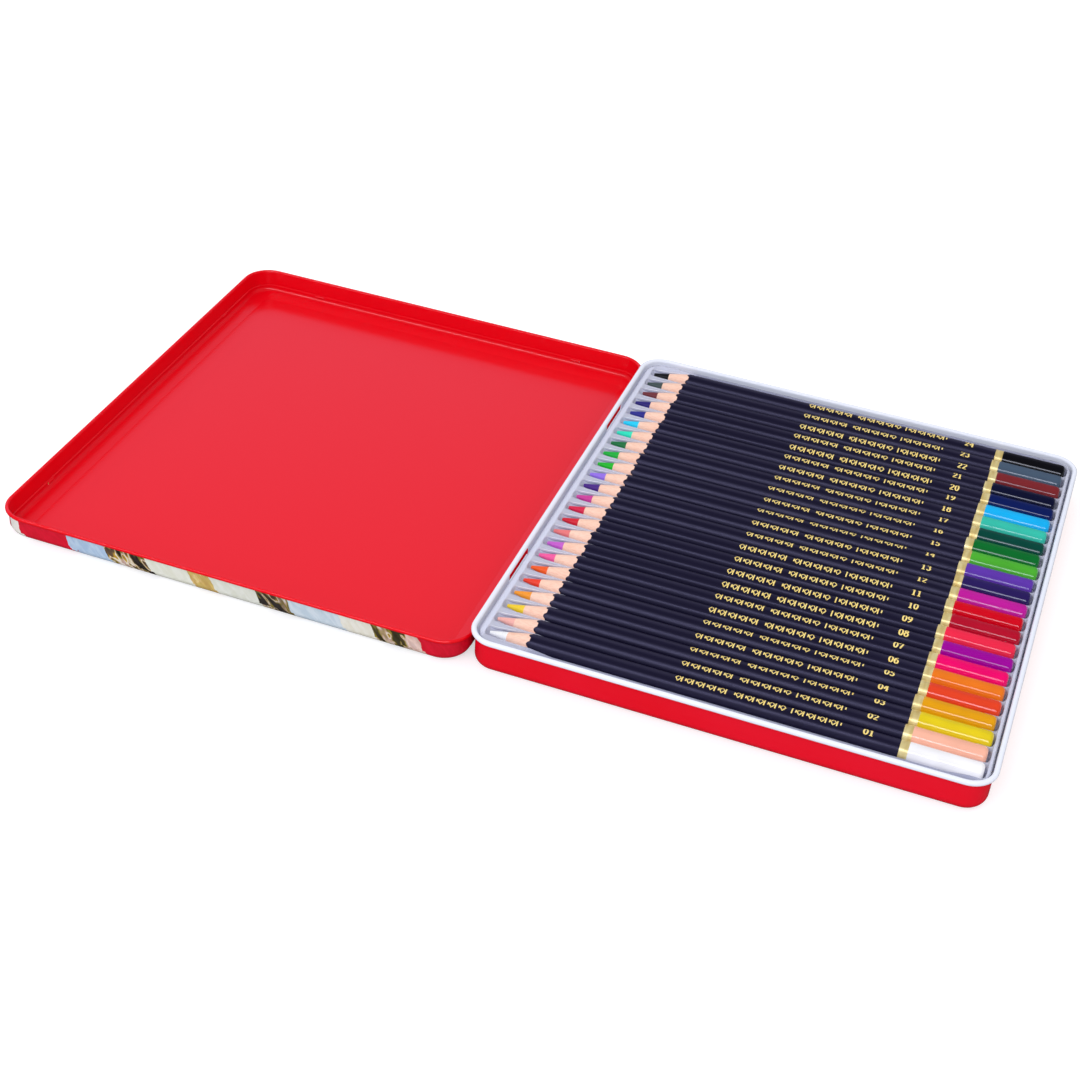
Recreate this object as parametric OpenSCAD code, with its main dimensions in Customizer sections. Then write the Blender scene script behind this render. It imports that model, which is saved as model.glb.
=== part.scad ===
// Hinged tin of twenty-four hexagonal colouring pencils.
// The tin lies open with its lid folded right back beside the base.
// X runs along the pencils with their points towards the hinge, Y across the row, Z up.
// The origin is the centre of the underside of the base. Millimetres.

/* [Base tin] */
// Length of the base along the pencils, over its rolled rim
base_len = 186.6; // [184:0.2:215]
// Width of the base across the pencils, over its rolled rim
base_wid = 209.6; // [207:0.2:240]
// Height of the base
base_high = 15; // [14.6:0.1:20]
// Corner radius of the base in plan, over its rolled rim
corner_r = 10; // [8:0.5:20]
// Outer radius of the bend between wall and floor
base_bend_r = 4; // [2:0.25:5]
// Diameter of the base's rolled rim
base_roll = 2; // [1.6:0.1:2.6]
// Thickness of the tinplate
sheet = 0.4; // [0.25:0.05:0.5]

/* [Lid tin] */
// Height of the lid from its panel to its rolled rim
lid_high = 10.8; // [9:0.1:14]
// Diameter of the lid's rolled rim
lid_roll = 1.5; // [1.2:0.1:2.2]
// Clearance between the inside of the lid and the base's rim
lid_gap = 0.2; // [0.15:0.05:0.6]
// Height above the panel of the shoulder that seats on the base's rim
shoulder_z = 3.9; // [3.6:0.1:4.5]
// How far the wall steps inwards at the shoulder
shoulder_in = 0.5; // [0.3:0.05:0.8]
// How far the shoulder falls towards the panel across its step
shoulder_fall = 0.3; // [0.1:0.05:0.4]
// Outer radius of the bend between wall and panel
lid_bend_r = 2.4; // [1.6:0.1:2.6]
// Width of the sloping border round the flat of the panel
border_wid = 5; // [2:0.2:8]
// Height by which the flat of the panel stands proud of its border
border_rise = 0.7; // [0.3:0.1:0.9]
// Radius of the pressed snap nibs
nib_r = 0.6; // [0.4:0.05:0.7]
// Length of each snap nib along its wall
nib_len = 4; // [2:0.5:8]
// Distance of each snap nib from the middle of the front and back walls
nib_x = 62; // [30:1:75]
// Distance of each snap nib from the middle of the far wall
nib_y = 71; // [30:1:85]

/* [Hinges] */
// Distance of each hinge from the middle of the tin
hinge_y = 55; // [30:1:75]
// Length of the slot in the base's wall at each hinge
slot_len = 19; // [12:0.5:26]
// Height of the slot's lower edge
slot_low = 10.6; // [10:0.1:11.6]
// How far the slot's upper edge lies below the middle of the rolled rim
slot_under_roll = 0.1; // [0:0.05:0.4]
// Diameter of the hinge pin
pin_d = 1.2; // [1:0.1:1.4]
// Clearance round the pin inside the lid's knuckle
pin_gap = 0.08; // [0.05:0.01:0.1]
// How far each knuckle reaches past the end of its slot
knuckle_past = 2; // [1:0.5:4]
// Length of each loop that holds a pin end
loop_len = 2.4; // [1.6:0.2:4]
// Clearance along the hinge between knuckle, loop and lid notch
hinge_side_gap = 0.4; // [0.2:0.1:0.8]

/* [Tray] */
// Thickness of the tray's film
film = 0.4; // [0.3:0.05:0.5]
// Gap between the tray and the base's wall at the hinge end
tray_hinge_gap = 1; // [0.5:0.1:1.8]
// Gap between the tray and the base's wall at the dipped ends
tray_tail_gap = 0.6; // [0.4:0.05:0.9]
// Gap between the sides of the tray and the base's wall
tray_side_gap = 1.2; // [0.4:0.1:1.6]
// Height of the tray's flange and of the ridges between its pockets
flange_z = 13.3; // [12.8:0.1:13.8]
// Height of the skirt round the tray
skirt_high = 8; // [4:0.5:9]
// Clearance round a pencil in its pocket
pocket_gap = 0.28; // [0.2:0.01:0.28]
// Free length at the pointed end of each pocket
tip_room = 1.4; // [1:0.1:1.8]
// Free length at the dipped end of each pocket
tail_room = 1.1; // [0.9:0.1:1.3]
// How much wider than a pocket the round of its scooped end is, at the tips
scoop_more = 0.5; // [0.3:0.1:2]
// How much wider than a pocket the round of its scalloped end is, at the dipped ends
scallop_more = 2; // [1:0.1:4]
// Width of the ridge between neighbouring pockets
ridge_wid = 0.42; // [0.36:0.02:0.6]
// How much narrower than a pocket the wells are that stand the tray on the floor
well_in = 0.3; // [0.2:0.1:1.5]
// Distance of the outer wells from the middle of the tin
well_x = 60; // [30:1:65]

/* [Pencils] */
// Length of a pencil
pencil_len = 175; // [170:0.5:176]
// How much wider a pencil is across its rounded corners than across its flats
corner_more = 0.4; // [0.3:0.05:0.6]
// Distance from the base's rim to the first and the last pencil's centre line
row_in = 9.58; // [9.4:0.02:12]
// Height of the pencils' centre lines
pencil_z = 11.8; // [11.4:0.1:12.2]
// Distance from the base's rim to the tips at the hinge end
tip_in = 6.6; // [6:0.1:8]
// Diameter of the coloured core
core_d = 3.8; // [2.6:0.1:4.2]
// Diameter of the blunt point
point_d = 1.2; // [0.3:0.1:2]
// Length of the sharpened cone, out to the rounded corners
cone_len = 15.4; // [12:0.2:22]
// Radius of the rounded dipped end
dome_r = 1.5; // [0.8:0.1:2.2]
// Depth of the dipped coat over the end of the core
cap_len = 1.5; // [1:0.1:3]
// Spread of the pencils' places along their pockets either way
stagger = 0.25; // [0:0.05:0.35]
// Mean turn of a pencil about its own axis
roll_mean = 26.5; // [0:0.5:60]
// How far the pencils' turns drift either way along the row
roll_drift = 7.5; // [0:0.5:15]
// How far the pencils' turns jump either way from one to the next
roll_jump = 4.5; // [0:0.5:15]

/* [Hidden] */
$fn = 64;
COUNT = 24;

RED = [0.86, 0.05, 0.14];
SILVER = [0.8, 0.81, 0.84];
CLEAR = [0.78, 0.79, 0.88, 0.5];
NAVY = [0.09, 0.08, 0.17];
EPS = 0.01;

// Pencil 1 lies at the front, on the -Y side.
CORE_COLOURS = [
    "white", "peachpuff", "gold", "orange", "orangered", "darkorange",
    "hotpink", "orchid", "salmon", "crimson", "firebrick", "mediumvioletred",
    "indigo", "mediumpurple", "limegreen", "green", "seagreen", "turquoise",
    "deepskyblue", "mediumblue", "darkblue", "brown", "darkslategray", "black"
];

base_roll_r = base_roll / 2;
base_wall_out = base_roll - sheet;
lid_roll_r = lid_roll / 2;
lid_len = base_len + 2 * (lid_gap + lid_roll);
lid_wid = base_wid + 2 * (lid_gap + lid_roll);
lid_corner_r = corner_r + lid_gap + lid_roll;
seat_gap = 0.1;
border_slope = atan(border_rise / border_wid);

// The axis lies in the middle of the lid's wall.
// Turning the lid about it by 180 degrees seats its shoulder on the base's rim.
hinge_out = lid_gap + sheet / 2;
hinge_x = -base_len / 2 - hinge_out;
hinge_z = (base_high + seat_gap + shoulder_z) / 2;
lid_x = 2 * hinge_x;

slot_high = base_high - base_roll_r - slot_under_roll;
knuckle_len = slot_len + 2 * knuckle_past;
knuckle_bore_r = pin_d / 2 + pin_gap;
knuckle_r = knuckle_bore_r + 2 * sheet;
loop_r = pin_d / 2 + sheet;
loop_y = knuckle_len / 2 + hinge_side_gap;
pin_len = 2 * (loop_y + loop_len);
notch_len = pin_len + 2 * hinge_side_gap;
notch_deep = lid_high - hinge_z + knuckle_r + hinge_side_gap;

tray_len = base_len - 2 * base_roll - tray_hinge_gap - tray_tail_gap;
tray_wid = base_wid - 2 * (base_roll + tray_side_gap);
tray_x = (tray_hinge_gap - tray_tail_gap) / 2;
tray_corner_r = corner_r - base_roll - tray_side_gap;
pitch = (base_wid - 2 * row_in) / (COUNT - 1);
corner_wid = pitch - 2 * pocket_gap - ridge_wid;
flat_wid = corner_wid - corner_more;
tip_x = base_len / 2 - tip_in;
pencil_r = corner_wid / 2;
pocket_r = pencil_r + pocket_gap;
pocket_start = -tip_x - tip_room;
pocket_end = -tip_x + pencil_len + tail_room;
scoop_r = pocket_r + scoop_more;
scallop_r = pocket_r + scallop_more;
well_r = pocket_r - well_in;
core_r = core_d / 2;
point_r = point_d / 2;
cone_slope = (pencil_r - point_r) / cone_len;

function two_digits(i) = i < 10 ? str("0", i) : str(i);
function row_y(i) = (i - (COUNT + 1) / 2) * pitch;
function turn(i) = roll_mean + roll_drift * sin(30 * i + 186) + roll_jump * sin(156 * i + 220);
function shift(i) = stagger * sin(i * 151);

// A rectangle with round corners, centred on the origin.
module round_rect(len, wid, r) {
    square([len - 2 * r, wid], center = true);
    square([len, wid - 2 * r], center = true);
    for (sx = [-1, 1], sy = [-1, 1])
        translate([sx * (len / 2 - r), sy * (wid / 2 - r)])
            circle(r);
}

// Carries a wall section round a rectangle with round corners.
// The section lies in (outward, up), with outward 0 at the outer edge.
module along_rim(len, wid, r) {
    for (side = [[0, len, wid], [90, wid, len], [180, len, wid], [270, wid, len]])
        rotate([0, 0, side[0]])
            translate([side[1] / 2, side[2] / 2 - r, 0])
                rotate([90, 0, 0])
                    linear_extrude(side[2] - 2 * r)
                        children();
    for (corner = [[0, 1, 1], [90, -1, 1], [180, -1, -1], [270, 1, -1]])
        translate([corner[1] * (len / 2 - r), corner[2] * (wid / 2 - r), 0])
            rotate([0, 0, corner[0]])
                rotate_extrude(angle = 90)
                    translate([r, 0])
                        children();
}

// A sheet edge rolled outwards and down again, just short of its own wall.
module rolled_edge(d, top) {
    curl = d / 20;
    translate([-d / 2, top - d / 2])
        difference() {
            circle(d / 2);
            circle(d / 2 - sheet);
            translate([0, -d / 2])
                square([d / 2 - sheet, d / 2]);
            translate([-curl, -d / 2])
                square([curl, sheet]);
        }
}

// A bend of sheet between a wall and a floor that rises outwards at the given slope.
// The wall's outer face stands at the given outward distance.
module bend(wall_out, r, lift, slope) {
    translate([wall_out - r, r + lift])
        intersection() {
            difference() {
                circle(r);
                circle(r - sheet);
            }
            polygon([
                [0, 0],
                [2 * r * sin(slope), -2 * r * cos(slope)],
                [2 * r, -2 * r],
                [2 * r, 0]
            ]);
        }
}

module base_section() {
    rolled_edge(base_roll, base_high);
    translate([-base_roll, base_bend_r])
        square([sheet, base_high - base_roll_r - base_bend_r]);
    bend(-base_wall_out, base_bend_r, 0, 0);
    translate([-base_wall_out - base_bend_r - 1, 0])
        square([1, sheet]);
}

// A loop pressed out of the wall, which grips one end of a hinge pin.
module pin_loop() {
    rotate([-90, 0, 0])
        difference() {
            union() {
                cylinder(h = loop_len, r = loop_r);
                translate([0, -sheet, 0])
                    cube([hinge_out + base_wall_out + sheet / 2, 2 * sheet, loop_len]);
            }
            translate([0, 0, -EPS])
                cylinder(h = loop_len + 2 * EPS, d = pin_d);
        }
}

module base_tin() {
    floor_len = base_len - 2 * (base_wall_out + base_bend_r);
    floor_wid = base_wid - 2 * (base_wall_out + base_bend_r);
    color(RED) {
        difference() {
            union() {
                along_rim(base_len, base_wid, corner_r)
                    base_section();
                linear_extrude(sheet)
                    round_rect(floor_len, floor_wid, corner_r - base_wall_out - base_bend_r);
            }
            for (s = [-1, 1])
                translate([-base_len / 2 + base_wall_out - 1, s * hinge_y - slot_len / 2, slot_low])
                    cube([sheet + 2, slot_len, slot_high - slot_low]);
        }
        for (s = [-1, 1], e = [-1, 1])
            translate([hinge_x, s * hinge_y + e * (loop_y + loop_len / 2) - loop_len / 2, hinge_z])
                pin_loop();
    }
}

module hinge_pins() {
    color(SILVER)
        for (s = [-1, 1])
            translate([hinge_x, s * hinge_y, hinge_z])
                rotate([90, 0, 0])
                    cylinder(h = pin_len, d = pin_d, center = true);
}

// Section of the lid as it lies open, with its rim upwards.
module lid_section() {
    wall_in = -lid_roll;
    step_in = wall_in - shoulder_in;
    bend_top = border_rise + lid_bend_r;
    rolled_edge(lid_roll, lid_high);
    translate([wall_in, shoulder_z])
        square([sheet, lid_high - lid_roll_r - shoulder_z]);
    polygon([
        [wall_in, shoulder_z],
        [wall_in + sheet, shoulder_z],
        [wall_in + sheet, shoulder_z - sheet],
        [step_in + sheet, shoulder_z - shoulder_fall - sheet],
        [step_in + sheet, bend_top - EPS],
        [step_in, bend_top - EPS],
        [step_in, shoulder_z - shoulder_fall]
    ]);
    bend(step_in + sheet, lid_bend_r, border_rise, border_slope);
    bend_x = step_in + sheet - lid_bend_r;
    inner_r = lid_bend_r - sheet;
    polygon([
        [bend_x + lid_bend_r * sin(border_slope), bend_top - lid_bend_r * cos(border_slope)],
        [bend_x + inner_r * sin(border_slope), bend_top - inner_r * cos(border_slope)],
        [bend_x - border_wid, sheet],
        [bend_x - border_wid - 1, sheet],
        [bend_x - border_wid - 1, 0],
        [bend_x - border_wid, 0]
    ]);
}

// Snap nibs pressed inwards just below the shoulder of three walls.
module nibs() {
    nib_z = shoulder_z - shoulder_fall - nib_r;
    nib_in = lid_roll + shoulder_in - sheet / 2;
    for (s = [-1, 1], e = [-1, 1])
        translate([s * nib_x, e * (lid_wid / 2 - nib_in), nib_z])
            rotate([0, 90, 0])
                cylinder(h = nib_len, r = nib_r, center = true);
    for (e = [-1, 1])
        translate([-(lid_len / 2 - nib_in), e * nib_y, nib_z])
            rotate([90, 0, 0])
                cylinder(h = nib_len, r = nib_r, center = true);
}

module knuckle() {
    rotate([90, 0, 0])
        difference() {
            cylinder(h = knuckle_len, r = knuckle_r, center = true);
            cylinder(h = knuckle_len + 2 * EPS, r = knuckle_bore_r, center = true);
        }
}

module lid_tin() {
    panel_in = lid_roll + shoulder_in - sheet + lid_bend_r + border_wid;
    hinge_wall = lid_len / 2 - lid_roll;
    tab_high = hinge_z - knuckle_r - (lid_high - notch_deep) + sheet;
    color(RED) {
        difference() {
            translate([lid_x, 0, 0]) {
                along_rim(lid_len, lid_wid, lid_corner_r)
                    lid_section();
                linear_extrude(sheet)
                    round_rect(lid_len - 2 * panel_in, lid_wid - 2 * panel_in,
                        lid_corner_r - panel_in);
            }
            for (s = [-1, 1])
                translate([lid_x + hinge_wall - 1, s * hinge_y - notch_len / 2,
                    lid_high - notch_deep])
                    cube([lid_roll + 2, notch_len, notch_deep + 1]);
        }
        translate([lid_x, 0, 0])
            nibs();
        for (s = [-1, 1]) {
            translate([lid_x + hinge_wall, s * hinge_y - knuckle_len / 2,
                lid_high - notch_deep - EPS])
                cube([sheet, knuckle_len, tab_high]);
            translate([hinge_x, s * hinge_y, hinge_z])
                knuckle();
        }
    }
}

// Section across all the pockets, as (across, up), grown by the given amount.
module pocket_section(grow, top) {
    r = pocket_r + grow;
    for (i = [1:COUNT])
        translate([row_y(i), pencil_z]) {
            circle(r);
            translate([-r, 0])
                square([2 * r, top - pencil_z]);
        }
}

// Plan of all the pockets, which rounds their ends and leaves their sides alone.
module pocket_plan(grow) {
    start = pocket_start - grow;
    end = pocket_end + grow;
    for (i = [1:COUNT])
        translate([0, row_y(i)]) {
            translate([start + scoop_r + grow, 0])
                circle(scoop_r + grow);
            translate([end - scallop_r - grow, 0])
                circle(scallop_r + grow);
            translate([start + scoop_r, -pitch / 2 - EPS])
                square([end - start - scoop_r - scallop_r, pitch + 2 * EPS]);
        }
}

// The room inside all the pockets, grown outwards by the given amount.
module pockets(grow, top) {
    intersection() {
        translate([-base_len / 2, 0, 0])
            rotate([90, 0, 90])
                linear_extrude(base_len)
                    pocket_section(grow, top);
        linear_extrude(top)
            pocket_plan(grow);
    }
}

module pencil_tray() {
    color(CLEAR)
        difference() {
            union() {
                translate([tray_x, 0, flange_z - film])
                    linear_extrude(film)
                        round_rect(tray_len, tray_wid, tray_corner_r);
                translate([tray_x, 0, flange_z - skirt_high])
                    linear_extrude(skirt_high)
                        difference() {
                            round_rect(tray_len, tray_wid, tray_corner_r);
                            round_rect(tray_len - 2 * film, tray_wid - 2 * film, tray_corner_r - film);
                        }
                pockets(film, flange_z);
                wells(well_r, sheet, pencil_z - pocket_r);
            }
            pockets(0, base_high);
            wells(well_r - film, sheet + film, pencil_z);
        }
}

// Round wells in the bottoms of six pockets.
module wells(r, low, high) {
    for (x = [-well_x, 0, well_x], i = [6, COUNT - 5])
        translate([x, row_y(i), low])
            cylinder(h = high - low, r = r);
}

// The turned envelope of a pencil: blunt point, sharpened cone and domed end.
module envelope() {
    rotate([0, 90, 0])
        rotate_extrude() {
            polygon([
                [0, 0],
                [point_r, 0],
                [pencil_r, cone_len],
                [pencil_r, pencil_len - dome_r],
                [0, pencil_len - dome_r]
            ]);
            translate([0, pencil_len - 2 * dome_r])
                square([pencil_r - dome_r, 2 * dome_r]);
            intersection() {
                translate([pencil_r - dome_r, pencil_len - dome_r])
                    circle(dome_r);
                translate([0, pencil_len - dome_r])
                    square([pencil_r, dome_r]);
            }
        }
}

module pencil(i) {
    color(NAVY)
        translate([-tip_x + shift(i), row_y(i), pencil_z])
            rotate([turn(i), 0, 0])
                difference() {
                    intersection() {
                        envelope();
                        rotate([0, 90, 0])
                            cylinder(h = pencil_len, r = flat_wid / 2 / cos(30), $fn = 6);
                    }
                    translate([-1, 0, 0])
                        rotate([0, 90, 0])
                            cylinder(h = pencil_len - cap_len + 1, r = core_r);
                }
}

module core(i) {
    color(CORE_COLOURS[i - 1])
        translate([-tip_x + shift(i), row_y(i), pencil_z])
            intersection() {
                envelope();
                rotate([0, 90, 0])
                    cylinder(h = pencil_len - cap_len, r = core_r);
            }
}

base_tin();
lid_tin();
hinge_pins();
pencil_tray();
for (i = [1:COUNT]) {
    pencil(i);
    core(i);
}
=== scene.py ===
"""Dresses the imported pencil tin: enamelled tinplate, a clear formed tray and two dozen lacquered pencils."""

import math

import bmesh
import bpy
from mathutils import Matrix, Vector


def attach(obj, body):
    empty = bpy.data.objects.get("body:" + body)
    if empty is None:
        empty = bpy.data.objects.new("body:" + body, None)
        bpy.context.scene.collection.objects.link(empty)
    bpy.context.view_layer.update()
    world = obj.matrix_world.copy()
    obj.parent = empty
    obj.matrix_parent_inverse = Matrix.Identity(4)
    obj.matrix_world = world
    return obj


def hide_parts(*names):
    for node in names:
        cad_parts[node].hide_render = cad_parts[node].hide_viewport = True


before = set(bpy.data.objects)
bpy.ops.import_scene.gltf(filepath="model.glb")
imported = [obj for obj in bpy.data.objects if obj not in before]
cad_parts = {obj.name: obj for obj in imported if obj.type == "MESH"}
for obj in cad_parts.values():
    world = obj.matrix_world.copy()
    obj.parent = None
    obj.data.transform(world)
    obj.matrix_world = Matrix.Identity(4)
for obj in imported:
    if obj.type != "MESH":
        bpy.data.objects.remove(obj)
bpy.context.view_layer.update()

bl_info = {
    "name": "Pencil tin",
    "version": (1, 0, 0),
    "blender": (4, 5, 0),
    "location": "3D View > Sidebar > Pencil tin",
    "description": "Finishes a hinged tin of colouring pencils around its packed model",
    "category": "Object",
}

# Kinds of node that come up often.
MATH, VECTOR, SPLIT = "ShaderNodeMath", "ShaderNodeVectorMath", "ShaderNodeSeparateXYZ"
NOISE, RAMP, MAPPING = "ShaderNodeTexNoise", "ShaderNodeValToRGB", "ShaderNodeMapping"
MIX, RANGE, BUMP = "ShaderNodeMix", "ShaderNodeMapRange", "ShaderNodeBump"
# The two colours of a mix node are its inputs 6 and 7.
MIX_A, MIX_B = 6, 7

MM = 0.001
COUNT = 24
NAMES = ["%02d" % number for number in range(1, COUNT + 1)]

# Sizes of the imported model, in millimetres.
BASE_LEN, BASE_WID, BASE_HIGH, BASE_ROLL = 186.6, 209.6, 15.0, 2.0
LID_LEN, LID_WID, LID_HIGH, LID_ROLL = 190.0, 213.0, 10.8, 1.5
LID_X = -187.4
BASE_WALL_X = -91.7
PENCIL_LEN, FLAT_WID, CORNER_WID = 175.0, 6.9, 7.3
PITCH, PENCIL_Z, TIP_X = 8.28, 11.8, 86.7
POINT_R, CORE_R, CONE_LEN = 0.6, 1.9, 15.4
ROLL_MEAN, ROLL_DRIFT, ROLL_JUMP, STAGGER = 26.5, 7.5, 4.5, 0.25
FILM, FLANGE_Z, SKIRT_HIGH, POCKET_R = 0.4, 13.3, 8.0, 3.93
POCKET_START, POCKET_END = -88.1, 89.4
TRAY_START, TRAY_END, TRAY_WID, TRAY_CORNER_R = -90.3, 90.7, 203.2, 6.8
WELL_X, WELL_R, WELL_LOW = 60.0, 3.63, 0.4

# Coats on a pencil, as distances from its point in millimetres, and their material slots.
BAND_START, BAND_END = 146.7, 149.8
WOOD, LACQUER, GOLD, DIP = range(4)
DIP_COAT, DOME_LONG = 0.13, 1.6
CONE_RINGS, DOME_RINGS = 9, 8
PATTERN_START, NUMBER_START = 69.1, 133.8

# The printed frame on the lid's face, and the line along the edge of the plain field inside it.
FRAME_WID, LINE_IN, LINE_WID = 20.0, 2.5, 0.8
# Where the hinge side of the lid has no print.
BARE_X, BARE_HALF = -96.3, 90.0
# How far the hand-drawn edges of the swatches stray.
EDGE_PUSH = 3.5
# The printed swatches round the lid, as (start, colour, how busy).
PRINT_SWATCHES = (
    (0.0, "d8102c", 0.0),
    (0.09, "ece8de", 0.0),
    (0.13, "d8102c", 0.0),
    (0.24, "b4cadf", 0.0),
    (0.33, "8a7a2c", 1.0),
    (0.42, "e4e4d4", 0.0),
    (0.51, "d9b667", 0.2),
    (0.56, "dfe0d2", 0.0),
    (0.66, "3c363a", 0.75),
    (0.73, "c9d6de", 0.0),
    (0.83, "e6e2d2", 0.0),
    (0.9, "8a7a2c", 0.9),
    (0.97, "eac6ba", 0.2),
)
DAB_STOPS = (
    (0.25, "2c2620"),
    (0.4, "8a7a2c"),
    (0.5, "c8a59a"),
    (0.58, "e8e2cc"),
    (0.68, "b8912c"),
    (0.8, "5a4634"),
)

# The clear film's bend of light, and the middle of the pencils it holds.
FILM_IOR, FILM_MID = 1.57, 8.0

# How far each coat rounds the hexagon under it, from 0 for not at all to 1 for a circle.
SOFT_LACQUER, SOFT_DIP = 0.62, 0.65

# Colour of each dipped end and of each core, from pencil 01 to pencil 24.
DIP_HEX = (
    "fdfbfd fcb99e e8cf1a e8a10c ea4422 f27c1c f4006c a0009a f52a4a b80c2a d8001a c21a9c "
    "2a1c5c 6238ac 4fb432 08702c 04483c 38c6ae 12b6f6 0a1c5a 0c1030 80282c 4a5c70 0c0c10"
).split()
CORE_HEX = (
    "fafafa fbb6aa fbd526 ff9e24 f83c1c ff5e0e ff5ca4 cf5ed0 f67c7c e00c2c e60e46 d63a9e "
    "4c1e8c 9c74ee 08c41e 00bc36 0e7c3e 1eeec4 00d8ff 262694 261a7c 7c2e36 465654 0c0c0e"
).split()


def row_y(number):
    return (number - (COUNT + 1) / 2) * PITCH


def roll_of(number):
    drift = ROLL_DRIFT * math.sin(math.radians(30 * number + 186))
    return ROLL_MEAN + drift + ROLL_JUMP * math.sin(math.radians(156 * number + 220))


def shift_of(number):
    return STAGGER * math.sin(math.radians(number * 151))


def linear(text):
    """An sRGB hex value as linear red, green, blue and alpha."""
    parts = [int(text[i : i + 2], 16) / 255 for i in (0, 2, 4)]
    return [c / 12.92 if c <= 0.04045 else ((c + 0.055) / 1.055) ** 2.4 for c in parts] + [1.0]


def grey(level):
    return (level, level, level, 1.0)


def feed(made, inputs):
    """Fills a node's inputs, by name or number, each with a value, a socket or a node's first live output."""
    for key, value in inputs.items() if isinstance(inputs, dict) else enumerate(inputs):
        if isinstance(value, bpy.types.Node):
            value = next(socket for socket in value.outputs if socket.enabled)
        if isinstance(value, bpy.types.NodeSocket):
            made.id_data.links.new(value, made.inputs[key])
        else:
            made.inputs[key].default_value = value


def node(tree, kind, inputs=(), stops=(), **settings):
    """Adds a node with its settings and inputs. stops are the (position, colour) pairs of a colour ramp."""
    made = tree.nodes.new(kind)
    for key, value in settings.items():
        setattr(made, key, value)
    if stops:
        elements = made.color_ramp.elements
        for position, _ in stops[2:]:
            elements.new(position)
        for element, (position, colour) in zip(elements, stops):
            element.position = position
            element.color = colour
    feed(made, inputs)
    return made


def new_material(name):
    """A material with its Principled shader, and the coordinates of the object that wears it."""
    made = bpy.data.materials.new(name)
    made.use_nodes = True
    tree = made.node_tree
    coords = node(tree, "ShaderNodeTexCoord").outputs
    return made, tree, tree.nodes["Principled BSDF"], coords


def outward(tree, coords, centre_x):
    """1 where a face of a tin looks outwards or down, from the object's own normal, and 0 elsewhere."""
    place = node(tree, VECTOR, [coords["Object"], (-centre_x * MM, 0, 0)], operation="ADD")
    flat = node(tree, VECTOR, [place, (1, 1, 0)], operation="MULTIPLY")
    unit = node(tree, VECTOR, [flat], operation="NORMALIZE")
    side = node(tree, VECTOR, [unit, coords["Normal"]], operation="DOT_PRODUCT").outputs["Value"]
    normal = node(tree, SPLIT, [coords["Normal"]]).outputs
    lean = node(tree, MATH, [side, normal[2]], operation="SUBTRACT")
    return node(tree, MATH, [lean, 0.02], operation="GREATER_THAN")


def enamel_base(red_hex, white_hex):
    """Stoved enamel on drawn tinplate: deep red outside, pale blue white inside and over the rolled rim,
    with a faint ripple."""
    made, tree, shader, coords = new_material("stoved_enamel_base")
    place = node(tree, SPLIT, [coords["Object"]]).outputs
    # Beyond the hinge wall lie the loops that grip the pins, which are red all round.
    hinge_loop = node(tree, MATH, [place[0], BASE_WALL_X * MM], operation="LESS_THAN")
    outside = node(tree, MATH, [outward(tree, coords, 0), hinge_loop], operation="MAXIMUM")
    under_roll = (BASE_HIGH - BASE_ROLL + 0.15) * MM
    below_roll = node(tree, MATH, [place[2], under_roll], operation="LESS_THAN")
    red_here = node(tree, MATH, [outside, below_roll], operation="MULTIPLY")
    ripple = node(tree, NOISE, {"Vector": coords["Object"], "Scale": 900.0, "Detail": 2.0})
    cloud = node(tree, NOISE, {"Vector": coords["Object"], "Scale": 22.0, "Detail": 2.0})
    red = node(tree, MIX, {0: cloud, MIX_A: linear(red_hex), MIX_B: linear("f01230")}, data_type="RGBA")
    white = node(tree, MIX, {0: cloud, MIX_A: linear(white_hex), MIX_B: linear("e6eaf6")}, data_type="RGBA")
    feed(shader, {
        "Base Color": node(tree, MIX, {0: red_here, MIX_A: white, MIX_B: red}, data_type="RGBA"),
        "Roughness": 0.16,
        "IOR": 1.5,
        "Normal": node(tree, BUMP, {"Height": ripple, "Strength": 0.25, "Distance": 0.02 * MM}),
    })
    return made


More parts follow.
